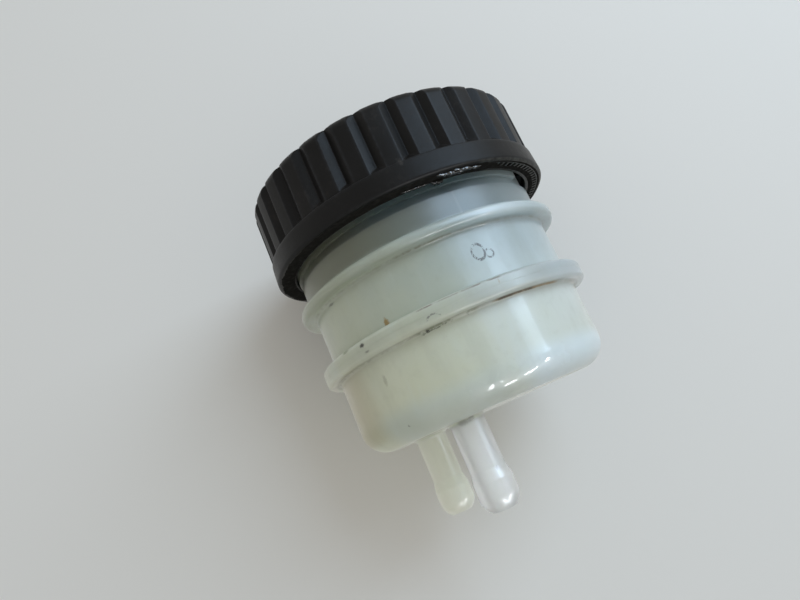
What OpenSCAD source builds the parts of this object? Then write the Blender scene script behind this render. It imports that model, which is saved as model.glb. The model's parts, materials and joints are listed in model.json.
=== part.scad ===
// Remote brake-fluid reservoir: a ribbed screw cap, a slip ring, a rubber
// diaphragm and a two-shell welded body with two hose nipples.
// Millimetres. +Z is the cap's axis, pointing from the nipples to the cap.
// The origin is on that axis, half way up the clamp seat.
// The seat's diameter drives the others: each step in or out is a size of its own.

/* [Clamp seat] */
// Outside diameter of the wall that a clamp band grips
seat_d = 50.8; // [44:0.1:58]
// Free height between the two flanges
seat_h = 10.4; // [6:0.1:16]
// Wall thickness of both shells
wall_t = 2; // [1.4:0.1:2.8]

/* [Flanges] */
// How far both flanges stand out from the seat
flange_w = 2.75; // [1.6:0.05:5]
// Thickness of the upper flange
upper_flange_t = 2.2; // [2:0.1:5]
// Thickness of each half of the weld flange
weld_half_t = 1.7; // [1.2:0.1:3]
// Rounding of the flange edges
flange_edge_r = 0.9; // [0.3:0.05:1]
// Fillet at the foot of each flange
flange_fillet_r = 0.7; // [0.2:0.05:1]

/* [Cup] */
// How far the cup's wall stands out from the seat
cup_step = 0.2; // [0:0.05:1]
// Height of the cup from the weld flange to the bottom
cup_h = 15.8; // [10:0.1:30]
// Outside rounding of the bottom corner
cup_corner_r = 5; // [3:0.1:7]
// Thickness of the bottom
floor_t = 2.2; // [1.4:0.1:3]

/* [Hose nipples] */
// Distance between the two nipple axes
nipple_gap = 23.6; // [16:0.1:27]
// Distance of the nipple row from the cap's axis
nipple_offset = 10; // [5:0.1:12]
// Diameter of the plain shank
nipple_shank_d = 6.5; // [5.4:0.1:7]
// Diameter of the bead that holds the hose
nipple_bead_d = 7.4; // [7.1:0.1:9]
// Length of the plain shank
nipple_shank_l = 9.3; // [6:0.1:16]
// Length of the slope from the shank up to the bead
nipple_ramp_l = 2; // [0.6:0.1:3]
// Length of the round land on the bead
nipple_land_l = 2.4; // [1.5:0.1:5]
// Length of the round nose in front of the bead
nipple_nose_l = 2.8; // [2:0.1:4]
// Diameter of the flat tip at the end of the nose
nipple_tip_d = 4.6; // [4.4:0.1:5.3]
// Diameter of the fluid passage
nipple_bore_d = 3.6; // [2.4:0.1:4.2]
// Fillet at the root of each nipple
nipple_fillet_r = 0.8; // [0.3:0.1:1.5]

/* [Neck] */
// How far the plain neck stands out from the seat
neck_step = 0.3; // [0:0.05:1]
// Height of the plain neck over the upper flange
neck_plain_h = 5; // [3:0.1:12]
// Depth of the recess between the neck and the collar
recess_t = 0.6; // [0.3:0.05:0.8]
// Height of the recess
recess_h = 1.6; // [0.8:0.1:3]
// How far the collar stands out from the neck
collar_step = 0.2; // [0:0.05:0.8]
// Height of the collar
collar_h = 1.4; // [1:0.1:4]
// Angle that the collar leaves open
collar_gap_a = 30; // [10:1:90]
// Direction of the middle of that gap, from +X
collar_gap_at = 56; // [0:1:360]
// Height of the threaded neck over the collar
neck_thread_h = 11.9; // [11:0.1:20]
// Wall thickness of the threaded neck
neck_t = 2; // [1.5:0.1:3]

/* [Thread] */
// How far the thread root lies inside the plain neck
thread_step = 1.3; // [1:0.05:2]
// Height of the thread ridge
thread_ridge_h = 1.3; // [1:0.05:1.5]
// Rise of the thread in one turn
thread_lead = 5; // [4.4:0.1:6]
// Width of the ridge at its crest
thread_crest_w = 1.2; // [0.8:0.1:1.4]
// Width of the ridge at its root
thread_foot_w = 2.2; // [1.8:0.1:2.4]
// Length of one ridge arc, in degrees
thread_arc = 62; // [40:1:80]
// Gap between a thread crest and the opposite root
thread_clear = 0.5; // [0.3:0.05:0.7]
// How far the cap's ridges sit above the middle of the neck's thread gap
thread_bias = 0.6; // [0:0.05:0.65]

/* [Cap] */
// Height of the cap
cap_h = 17.4; // [16.2:0.1:21]
// Thickness of the cap's top
cap_top_t = 2; // [1.4:0.1:3]
// Wall between the cap's bore and the bottoms of its grooves
cap_wall_t = 2.25; // [1.6:0.05:4]
// Gap between the cap's bore and the collar
cap_side_gap = 0.3; // [0.2:0.05:0.8]
// Height of the plain band
cap_band_h = 4.4; // [4:0.1:8]
// How far the band's top stands out from the grip lands
cap_band_step = 0.3; // [0.1:0.05:1]
// How far the band flares out down to the rim
cap_rim_flare = 0.2; // [0:0.05:1]
// Chamfer round the lower rim
cap_rim_chamfer = 0.4; // [0.1:0.05:0.6]
// Rounding of the top edge
cap_edge_r = 2.2; // [0.8:0.1:3]
// Number of grip grooves
groove_n = 30; // [20:1:34]
// Width of one grip groove
groove_w = 3.1; // [2:0.1:3.6]
// Depth of one grip groove
groove_t = 1.15; // [0.6:0.05:1.4]
// Wall thickness of the outer skirt at the rim
cap_skirt_t = 1.3; // [1:0.1:1.6]
// Number of pockets round the underside of the rim
pocket_n = 120; // [40:1:130]
// Radial width of a pocket
pocket_w = 1.4; // [0.8:0.1:1.5]
// Depth of the pockets
pocket_h = 3; // [1:0.1:3.2]
// Thickness of the web between two pockets
pocket_web_t = 0.6; // [0.5:0.05:0.8]

/* [Slip ring and diaphragm] */
// Thickness of the slip ring
ring_t = 1; // [0.6:0.1:1.4]
// Radial width of the slip ring
ring_w = 3.4; // [2:0.1:6]
// Thickness of the diaphragm's rim
dia_rim_t = 1.6; // [1.2:0.1:2]
// Thickness of the diaphragm's skin
dia_skin_t = 1; // [0.7:0.05:1.3]
// Depth of the diaphragm's cup below its rim
dia_depth = 8.4; // [6:0.1:12]
// Height of the diaphragm's fold over the bottom of its cup
dia_fold_h = 5.4; // [3:0.1:5.8]
// Width of the channel between the cup's side and the fold
dia_trough_w = 3.3; // [2.4:0.1:5]
// Width of the fold at its foot
dia_fold_w = 6.4; // [5.6:0.1:9]
// How far each side of the fold leans
dia_fold_lean = 2.3; // [1.4:0.1:2.5]
// Gap between the diaphragm's cup and the neck bore
dia_side_gap = 0.7; // [0.4:0.05:1.2]
// Gap between the slip ring and the cap
cap_run_gap = 0.1; // [0.05:0.01:0.2]
// Gap between the diaphragm's rim and the neck
dia_seat_gap = 0.05; // [0.02:0.01:0.1]

/* [Hidden] */
$fn = 96;
eps = 0.01;
seat_r = seat_d / 2;
seat_bore_r = seat_r - wall_t;
flange_r = seat_r + flange_w;
cup_r = seat_r + cup_step;
cup_bore_r = cup_r - wall_t;
neck_r = seat_r + neck_step;
recess_r = neck_r - recess_t;
collar_r = neck_r + collar_step;
thread_r = neck_r - thread_step;
neck_bore_r = thread_r - neck_t;
seat_top = seat_h / 2;
seat_low = -seat_h / 2;
weld_z = seat_low - weld_half_t;
cup_top = weld_z - weld_half_t;
cup_low = cup_top - cup_h;
floor_z = cup_low + floor_t;
flange_top = seat_top + upper_flange_t;
recess_z = flange_top + neck_plain_h;
collar_z = recess_z + recess_h;
collar_top = collar_z + collar_h;
neck_top = collar_top + neck_thread_h;
dia_z = neck_top + dia_seat_gap;
ring_z = dia_z + dia_rim_t;
ceiling_z = ring_z + ring_t + cap_run_gap;
cap_top_z = ceiling_z + cap_top_t;
rim_z = cap_top_z - cap_h;
band_z = rim_z + cap_band_h;
sleeve_r = max(thread_r + thread_ridge_h, collar_r) + cap_side_gap;
cap_minor_r = thread_r + thread_clear;
groove_r = sleeve_r + cap_wall_t;
grip_r = groove_r + groove_t;
band_r = grip_r + cap_band_step;
rim_r = band_r + cap_rim_flare;
pocket_r = rim_r - cap_skirt_t;
thread_z = collar_top + 0.8 + thread_lead / 2;
thread_pieces = floor((neck_top - 2.2 - thread_z) / (thread_lead / 4)) + 1;
cap_thread_z = thread_z - thread_lead / 2 + thread_bias;
nipple_bead_z = cup_low - nipple_shank_l;

// A square corner in the half-plane profile filled to radius r.
// sx and sy say which way the fillet leaves the corner.
module fillet(x, y, r, sx, sy) {
    translate([x, y])
    difference() {
        translate([min(0, sx * r), min(0, sy * r)])
            square(r);
        translate([sx * r, sy * r])
            circle(r);
    }
}

// A profile block from r0 to r1 and z0 to z1.
module block(r0, r1, z0, z1) {
    translate([r0, z0])
        square([r1 - r0, z1 - z0]);
}

// A flange profile from r0 to r1, with round upper and lower edges.
module flange_block(r0, r1, z0, z1, e_low, e_high) {
    block(r0, r1 - max(e_low, e_high), z0, z1);
    block(r0, r1, z0 + e_low, z1 - e_high);
    if (e_high > 0)
        translate([r1 - e_high, z1 - e_high])
            intersection() {
                circle(e_high);
                square(e_high);
            }
    if (e_low > 0)
        translate([r1 - e_low, z0 + e_low])
            intersection() {
                circle(e_low);
                translate([0, -e_low])
                    square(e_low);
            }
}

// One thread ridge arc. side is 1 for a ridge outside radius r, -1 inside.
// The flanks run on past radius r, so the ridge is rooted in the wall.
module ridge_arc(r, h, side, centre, z) {
    tilt = atan(thread_lead / (2 * PI * r));
    root = 0.7;
    slope = (thread_foot_w - thread_crest_w) / 2 / h;
    half_root = thread_foot_w / 2 + slope * root;
    rotate([0, 0, centre])
    translate([0, 0, z])
    rotate([tilt, 0, 0])
    rotate([0, 0, -thread_arc / 2])
    rotate_extrude(angle = thread_arc)
        polygon([
            [r - side * root, -half_root],
            [r + side * h, -thread_crest_w / 2],
            [r + side * h, thread_crest_w / 2],
            [r - side * root, half_root]
        ]);
}

module upper_profile() {
    block(seat_bore_r, seat_r, weld_z, seat_top + eps);
    flange_block(seat_bore_r, flange_r, weld_z, seat_low, 0, flange_edge_r);
    fillet(seat_r, seat_low, flange_fillet_r, 1, 1);
    flange_block(seat_bore_r, flange_r, seat_top, flange_top, flange_edge_r, flange_edge_r);
    fillet(seat_r, seat_top, flange_fillet_r, 1, -1);
    polygon([
        [seat_bore_r, seat_top],
        [neck_r, seat_top],
        [neck_r, recess_z],
        [neck_bore_r, recess_z],
        [neck_bore_r, flange_top]
    ]);
    fillet(neck_r, flange_top, flange_fillet_r, 1, 1);
    block(neck_bore_r, recess_r, recess_z - eps, collar_top);
    block(neck_bore_r, thread_r, collar_top - eps, neck_top);
}

module collar() {
    rotate([0, 0, collar_gap_at + collar_gap_a / 2])
    rotate_extrude(angle = 360 - collar_gap_a)
        block(recess_r - 0.5, collar_r, collar_z, collar_top);
}

module upper_shell() {
    color("Gainsboro")
    union() {
        rotate_extrude()
            upper_profile();
        collar();
        for (i = [0 : thread_pieces - 1])
            ridge_arc(
                thread_r, thread_ridge_h, 1, i * 90, thread_z + i * thread_lead / 4
            );
    }
}

module cup_profile() {
    inner_r = max(cup_corner_r - wall_t, 0.5);
    difference() {
        union() {
            block(0, cup_r - cup_corner_r, cup_low, cup_top + eps);
            block(0, cup_r, cup_low + cup_corner_r, cup_top + eps);
            translate([cup_r - cup_corner_r, cup_low + cup_corner_r])
                intersection() {
                    circle(cup_corner_r);
                    translate([0, -cup_corner_r])
                        square(cup_corner_r);
                }
            flange_block(0, flange_r, cup_top, weld_z, flange_edge_r, 0);
            fillet(cup_r, cup_top, flange_fillet_r, 1, -1);
        }
        block(-1, cup_bore_r - inner_r, floor_z, weld_z + 1);
        block(-1, cup_bore_r, floor_z + inner_r, weld_z + 1);
        translate([cup_bore_r - inner_r, floor_z + inner_r])
            circle(inner_r);
    }
}

module nipple_profile() {
    shank_r = nipple_shank_d / 2;
    bead_r = nipple_bead_d / 2;
    land_z = nipple_bead_z - nipple_ramp_l;
    nose_z = land_z - nipple_land_l;
    step = bead_r - nipple_tip_d / 2;
    nose_r = (nipple_nose_l * nipple_nose_l + step * step) / (2 * step);
    polygon([
        [0, cup_low + floor_t / 2],
        [shank_r, cup_low + floor_t / 2],
        [shank_r, nipple_bead_z],
        [bead_r, land_z],
        [bead_r, nose_z],
        [0, nose_z]
    ]);
    intersection() {
        translate([bead_r - nose_r, nose_z])
            circle(nose_r);
        block(0, bead_r, nose_z - nipple_nose_l, nose_z);
    }
    fillet(shank_r, cup_low, nipple_fillet_r, 1, -1);
}

module lower_shell() {
    bore_l = floor_t + nipple_shank_l + nipple_ramp_l + nipple_land_l + nipple_nose_l + 3;
    color("WhiteSmoke")
    difference() {
        union() {
            rotate_extrude()
                cup_profile();
            for (s = [-1, 1])
                translate([s * nipple_gap / 2, -nipple_offset, 0])
                rotate_extrude()
                    nipple_profile();
        }
        for (s = [-1, 1])
            translate([s * nipple_gap / 2, -nipple_offset, floor_z + 1 - bore_l])
                cylinder(d = nipple_bore_d, h = bore_l);
    }
}

module diaphragm() {
    side_r = neck_bore_r - dia_side_gap;
    outer_foot = side_r - dia_trough_w;
    inner_foot = outer_foot - dia_fold_w;
    low = dia_z - dia_depth;
    fold_top = low + dia_fold_h;
    t = dia_skin_t;
    color("DimGray")
    rotate_extrude()
    union() {
        block(side_r - 1.6 * t, thread_r, dia_z, ring_z);
        polygon([
            [0, low + t],
            [0, low],
            [inner_foot, low],
            [inner_foot + 0.6 * dia_fold_lean, low + t],
            [inner_foot + dia_fold_lean, fold_top - t],
            [outer_foot - dia_fold_lean, fold_top - t],
            [outer_foot - 0.6 * dia_fold_lean, low + t],
            [outer_foot, low],
            [side_r - t, low],
            [side_r - 0.2 * t, low + 0.8 * t],
            [side_r, dia_z + eps],
            [side_r - 1.5 * t, dia_z + eps],
            [side_r - 1.3 * t, low + 1.4 * t],
            [outer_foot + 0.3 * t, low + t],
            [outer_foot - 0.3 * t, low + 1.4 * t],
            [outer_foot - dia_fold_lean + t, fold_top],
            [inner_foot + dia_fold_lean - t, fold_top],
            [inner_foot + 0.4 * t, low + 1.5 * t],
            [inner_foot - 0.4 * t, low + t]
        ]);
    }
}

module slip_ring() {
    color("Silver")
    translate([0, 0, ring_z])
    difference() {
        cylinder(r = thread_r, h = ring_t);
        translate([0, 0, -1])
            cylinder(r = thread_r - ring_w, h = ring_t + 2);
    }
}

module grip_groove(k) {
    over = 1;
    half = groove_w / 2 * (groove_t + over) / groove_t;
    rotate([0, 0, k * 360 / groove_n])
    translate([grip_r, 0, band_z - 0.2])
    linear_extrude(cap_h)
        polygon([[-groove_t, 0], [over, -half], [over, half]]);
}

module grip_drum() {
    difference() {
        rotate_extrude()
            union() {
                block(0, grip_r - cap_edge_r, rim_z + 1, cap_top_z);
                block(0, grip_r, rim_z + 1, cap_top_z - cap_edge_r);
                translate([grip_r - cap_edge_r, cap_top_z - cap_edge_r])
                    intersection() {
                        circle(cap_edge_r);
                        square(cap_edge_r);
                    }
            }
        for (k = [0 : groove_n - 1])
            grip_groove(k);
    }
}

module cap_band() {
    translate([0, 0, rim_z])
        cylinder(r1 = rim_r - cap_rim_chamfer, r2 = rim_r, h = cap_rim_chamfer);
    translate([0, 0, rim_z + cap_rim_chamfer])
        cylinder(r1 = rim_r, r2 = band_r, h = cap_band_h - cap_rim_chamfer);
    translate([0, 0, band_z - eps])
        cylinder(r1 = grip_r, r2 = groove_r - 0.1, h = groove_t + 0.1);
}

module cap_pocket(k) {
    width = 2 * PI * (pocket_r - pocket_w) / pocket_n - pocket_web_t;
    rotate([0, 0, (k + 0.5) * 360 / pocket_n])
    translate([pocket_r - pocket_w, -width / 2, rim_z - 1])
        cube([pocket_w, width, pocket_h + 1]);
}

module screw_cap() {
    color("DarkSlateGray")
    union() {
        difference() {
            union() {
                grip_drum();
                cap_band();
            }
            translate([0, 0, rim_z - 1])
                cylinder(r = sleeve_r, h = ceiling_z - rim_z + 1);
            for (k = [0 : pocket_n - 1])
                cap_pocket(k);
        }
        for (i = [1 : thread_pieces - 1])
            ridge_arc(
                sleeve_r, sleeve_r - cap_minor_r, -1, i * 90,
                cap_thread_z + i * thread_lead / 4
            );
    }
}

upper_shell();
lower_shell();
diaphragm();
slip_ring();
screw_cap();
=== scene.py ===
"""Looks of a used remote brake-fluid reservoir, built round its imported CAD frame.

The two translucent shells keep their CAD solids and get a milky moulded finish with the stains of
use. The screw cap, the slip ring and the rubber diaphragm are new surfaces with softened edges. Dry
grime and wet beads lie under the cap's rim, and a thin skin covers the weld flange. Sizes are in
millimetres in the frame of the clamp seat; they become metres when a mesh is made.
"""

import json
import logging
import math
from dataclasses import dataclass
from enum import Enum
from functools import cached_property

import bpy
import numpy as np
from mathutils import Matrix, Vector

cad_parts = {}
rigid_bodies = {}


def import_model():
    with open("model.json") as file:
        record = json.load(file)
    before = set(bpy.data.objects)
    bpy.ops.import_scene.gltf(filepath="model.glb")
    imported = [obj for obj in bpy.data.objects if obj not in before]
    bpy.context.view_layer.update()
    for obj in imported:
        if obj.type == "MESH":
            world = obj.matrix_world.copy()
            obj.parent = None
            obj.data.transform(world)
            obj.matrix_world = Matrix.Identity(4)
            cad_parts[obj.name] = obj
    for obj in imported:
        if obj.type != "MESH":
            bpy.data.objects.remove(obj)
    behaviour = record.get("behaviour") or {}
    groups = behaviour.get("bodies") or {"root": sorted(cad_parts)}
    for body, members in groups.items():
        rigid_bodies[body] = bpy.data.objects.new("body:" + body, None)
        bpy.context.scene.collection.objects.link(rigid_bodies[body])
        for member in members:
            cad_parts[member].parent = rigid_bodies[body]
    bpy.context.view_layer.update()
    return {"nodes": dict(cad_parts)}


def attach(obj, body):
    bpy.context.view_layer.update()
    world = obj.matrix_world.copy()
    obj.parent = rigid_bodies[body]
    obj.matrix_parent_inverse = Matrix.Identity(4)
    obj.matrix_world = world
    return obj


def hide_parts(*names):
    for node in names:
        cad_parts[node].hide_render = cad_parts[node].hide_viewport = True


for leftover in list(bpy.data.objects):
    bpy.data.objects.remove(leftover)
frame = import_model()

LOG = logging.getLogger("reservoir")
MM = 0.001
Colour = tuple[float, float, float]
Point = tuple[float, float, float]

# Heights on the body, from the nipples up to the cap
BEAD_Z = -33.7
CUP_LOW = -24.4
WELD_LOW = -8.6
WELD_TOP = -5.2
SEAT_TOP = 5.2
FLANGE_TOP = 7.4
RECESS_Z = 12.4
RIM_Z = 14.65
CAP_TOP = 32.05


class Body(Enum):
    """The CAD bodies that pieces ride on."""

    RESERVOIR = "reservoir"
    SEAL_STACK = "seal_stack"
    CAP = "cap"


class Slot(Enum):
    """The record's material slots."""

    BODY = "body_plastic"
    CAP = "cap_plastic"
    RING = "ring_plastic"
    RUBBER = "diaphragm_rubber"


class Val:
    """A shader socket with arithmetic: each operator adds the Math node that works it out."""

    def __init__(self, graph: "Graph", node: bpy.types.Node, socket: bpy.types.NodeSocket) -> None:
        """Keeps the graph, the node and the socket that carries the value."""
        self.graph, self.node, self.socket = graph, node, socket

    def out(self, name: str) -> "Val":
        """Another output of the same node."""
        return Val(self.graph, self.node, self.node.outputs[name])

    def math(self, operation: str, *others: "Val | float", first: bool = True) -> "Val":
        """One Math node.

        Args:
            operation: the node's operation, such as ADD.
            others: the other operands.
            first: whether this value is the first operand.

        Returns:
            The node's result.
        """
        operands = [self, *others] if first else [*others, self]
        return self.graph.node("Math", {"operation": operation}, dict(enumerate(operands)))

    def __add__(self, other: "Val | float") -> "Val":
        """Sum."""
        return self.math("ADD", other)

    def __sub__(self, other: "Val | float") -> "Val":
        """Difference."""
        return self.math("SUBTRACT", other)

    def __rsub__(self, other: float) -> "Val":
        """Difference from a number."""
        return self.math("SUBTRACT", other, first=False)

    def __mul__(self, other: "Val | float") -> "Val":
        """Product."""
        return self.math("MULTIPLY", other)

    __radd__ = __add__
    __rmul__ = __mul__

    def upper_of(self, other: "Val | float") -> "Val":
        """The larger of two values."""
        return self.math("MAXIMUM", other)

    def length_with(self, *others: "Val") -> "Val":
        """The length of a vector: the square root of the sum of the squares of its parts.

        Args:
            others: the vector's other parts.

        Returns:
            The length.
        """
        total = self * self
        for other in others:
            total = total + other * other
        return total.math("SQRT")

    def ease(self, low: float, high: float) -> "Val":
        """A smooth step.

        Args:
            low: where it is 0, which may be the larger of the two.
            high: where it is 1.

        Returns:
            A value from 0 to 1.
        """
        return self.graph.node(
            "MapRange", {"interpolation_type": "SMOOTHSTEP"},
            {"Value": self, "From Min": low, "From Max": high},
        )

    def band(self, low: float, high: float, soft: float) -> "Val":
        """A window that is 1 between low and high and eases to 0 over the soft width outside."""
        return self.ease(low - soft, low) * self.ease(high + soft, high)


class Graph:
    """A node tree under construction."""

    def __init__(self, tree: bpy.types.NodeTree) -> None:
        """Empties the tree."""
        self.tree = tree
        tree.nodes.clear()

    def node(self, kind: str, settings: dict | None = None, sockets: dict | None = None,
             output: str | int = 0) -> Val:
        """Adds one node.

        Args:
            kind: the node's type without its ShaderNode prefix.
            settings: properties set before the sockets.
            sockets: values or links by the input's name or index.
            output: the output that the result stands for.

        Returns:
            The chosen output.
        """
        made = self.tree.nodes.new("ShaderNode" + kind)
        for key, value in (settings or {}).items():
            setattr(made, key, value)
        for key, value in (sockets or {}).items():
            if isinstance(value, Val):
                self.tree.links.new(value.socket, made.inputs[key])
            else:
                made.inputs[key].default_value = value
        return Val(self, made, made.outputs[output])

    def show(self, kind: str, shader: Val) -> None:
        """Links a shader to a new output node.

        Args:
            kind: the output node's type without its ShaderNode prefix.
            shader: what it shows.
        """
        out = self.tree.nodes.new("ShaderNode" + kind)
        self.tree.links.new(shader.socket, out.inputs["Surface"])


class Paint(Graph):
    """A material under construction, with the coordinates in millimetres that its patterns use."""

    def __init__(self, name: str) -> None:
        """Starts an empty material.

        Args:
            name: the material's name.
        """
        self.material = bpy.data.materials.new(name)
        self.material.use_nodes = True
        super().__init__(self.material.node_tree)
        self.place = self.node("TexCoord", output="Object")
        scaled = self.node("VectorMath", {"operation": "SCALE"}, {0: self.place, "Scale": 1.0 / MM})
        parts = self.node("SeparateXYZ", {}, {0: scaled})
        self.x, self.y, self.z = parts.out("X"), parts.out("Y"), parts.out("Z")

    def noise(self, per_mm: float, detail: float = 3.0, rough: float = 0.55, shift: float = 0.0,
              tall: float = 1.0) -> Val:
        """Cloud noise on the object's own coordinates.

        Args:
            per_mm: features to the millimetre.
            detail: octaves.
            rough: how strong the finer octaves are.
            shift: moves the pattern, so that two noises differ.
            tall: how much longer a feature is along the axis than across it.

        Returns:
            A value near 0.5.
        """
        place = self.node("VectorMath", {"operation": "MULTIPLY_ADD"}, {
            0: self.place, 1: (1.0, 1.0, 1.0 / tall), 2: (shift, shift * 0.7, -shift),
        })
        return self.node(
            "TexNoise", {},
            {"Vector": place, "Scale": per_mm / MM, "Detail": detail, "Roughness": rough},
        )

    @cached_property
    def angle(self) -> Val:
        """The angle round the axis in degrees, from the X axis."""
        return self.y.math("ARCTAN2", self.x) * (180.0 / math.pi)

    @cached_property
    def radius(self) -> Val:
        """The distance from the axis in millimetres."""
        return self.x.length_with(self.y)

    def mix(self, share: "Val | float", under: "Val | Colour", over: "Val | Colour") -> Val:
        """A colour between two others.

        Args:
            share: how much of the second colour.
            under: the first colour.
            over: the second colour.

        Returns:
            The mixed colour.
        """
        ready = [c if isinstance(c, Val) else (*c, 1.0) for c in (under, over)]
        return self.node("Mix", {"data_type": "RGBA"}, {0: share, 6: ready[0], 7: ready[1]}, output=2)

    def layers(self, under: "Val | Colour", *over: tuple[Val, Colour]) -> Val:
        """Colours laid over one another in order.

        Args:
            under: the first colour.
            over: the share and the colour of each layer, of which there is at least one.

        Returns:
            The colour with all its layers.
        """
        for share, colour in over:
            under = self.mix(share, under, colour)
        return under

    def bump(self, height: Val, depth_mm: float) -> Val:
        """A Bump node of a given depth."""
        return self.node("Bump", {}, {"Height": height, "Distance": depth_mm * MM, "Strength": 1.0})

    def blend(self, share: Val, under: Val, over: Val) -> Val:
        """A shader between two others, by the share of the second."""
        return self.node("MixShader", {}, {0: share, 1: under, 2: over})

    def finish(self, shader: Val) -> bpy.types.Material:
        """Shows the shader and gives the finished material."""
        self.show("OutputMaterial", shader)
        return self.material


@dataclass(frozen=True)
class Blot:
    """A small mark on the shells: a warped ball of colour round one point of the surface."""

    at: Point
    reach: float
    colour: Colour
    strength: float = 0.85
    squeeze: Point = (1.0, 1.0, 1.0)

    def share(self, paint: Paint, warp: Val) -> Val:
        """How much of the mark's colour shows.

        Args:
            paint: the material that carries the mark.
            warp: a value near 0 that frays the edge, in millimetres.

        Returns:
            A value from 0 to the mark's strength.
        """
        parts = [(axis - centre) * squeeze for axis, centre, squeeze
                 in zip((paint.x, paint.y, paint.z), self.at, self.squeeze)]
        away = parts[0].length_with(*parts[1:]) + warp
        return away.ease(self.reach, self.reach * 0.35) * self.strength


class ShellPaint(Paint):
    """A material of the shells, with masks of its zones, 0 outside and 1 inside, and shared noises."""

    def __init__(self, name: str) -> None:
        """Starts the material and works its zones out.

        Args:
            name: the material's name.
        """
        super().__init__(name)
        self.cloud = self.noise(0.05, 3.0)
        self.grain = self.noise(0.6, 4.0, shift=0.31)
        self.fine = self.noise(3.2, 3.0, shift=0.77)
        self.fray = (self.grain - 0.5) * 0.9 + (self.fine - 0.5) * 0.7
        self.speckle = (self.fine * 0.5 + self.grain * 0.5).ease(0.42, 0.52)
        self.nipples = self.z.ease(CUP_LOW + 0.1, CUP_LOW - 1.2)
        self.left_nipple = self.nipples * self.x.ease(2.0, -2.0)
        self.corner = self.z.ease(-17.0, -21.0) * self.radius.ease(18.0, 22.0)
        self.cup = self.z.band(-22.0, -9.5, 1.5)
        self.weld = self.z.band(WELD_LOW, WELD_TOP, 0.4)
        self.outer = self.radius.ease(27.3, 27.7)
        self.seat = self.z.band(-4.5, 4.5, 1.5)
        self.neck = self.z.ease(FLANGE_TOP, FLANGE_TOP + 1.2)
        self.under_cap = self.z.ease(RIM_Z - 0.05, RIM_Z + 0.95)
        self.open_neck = self.neck * (1.0 - self.under_cap)
        self.recess = self.z.ease(RECESS_Z - 0.2, RECESS_Z + 0.1) * (1.0 - self.under_cap)
        self.tanned = self.open_neck * self.y.ease(-11.0, -22.0)
        self.under_weld = self.crease(WELD_LOW - 0.12, 0.05, 0.18, 26.9)
        self.over_weld = self.crease(WELD_TOP + 0.12, 0.05, 0.16, 26.6)
        self.under_upper = self.crease(SEAT_TOP - 0.12, 0.04, 0.15, 26.6)
        self.over_upper = self.crease(FLANGE_TOP + 0.12, 0.04, 0.15, 26.9)
        self.creases = self.under_weld.upper_of(self.over_weld)
        self.creases = self.creases.upper_of(self.under_upper).upper_of(self.over_upper)

    def crease(self, level: float, half: float, soft: float, foot: float) -> Val:
        """A frayed line round the body where a flange meets the wall.

        Args:
            level: the line's height.
            half: half of its height.
            soft: the width over which it fades.
            foot: the radius past which it stops.

        Returns:
            The line's mask.
        """
        line = (self.z - level + self.fray * 0.2).band(-half, half, soft)
        return line * self.radius.ease(foot, foot - 0.7)


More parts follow.
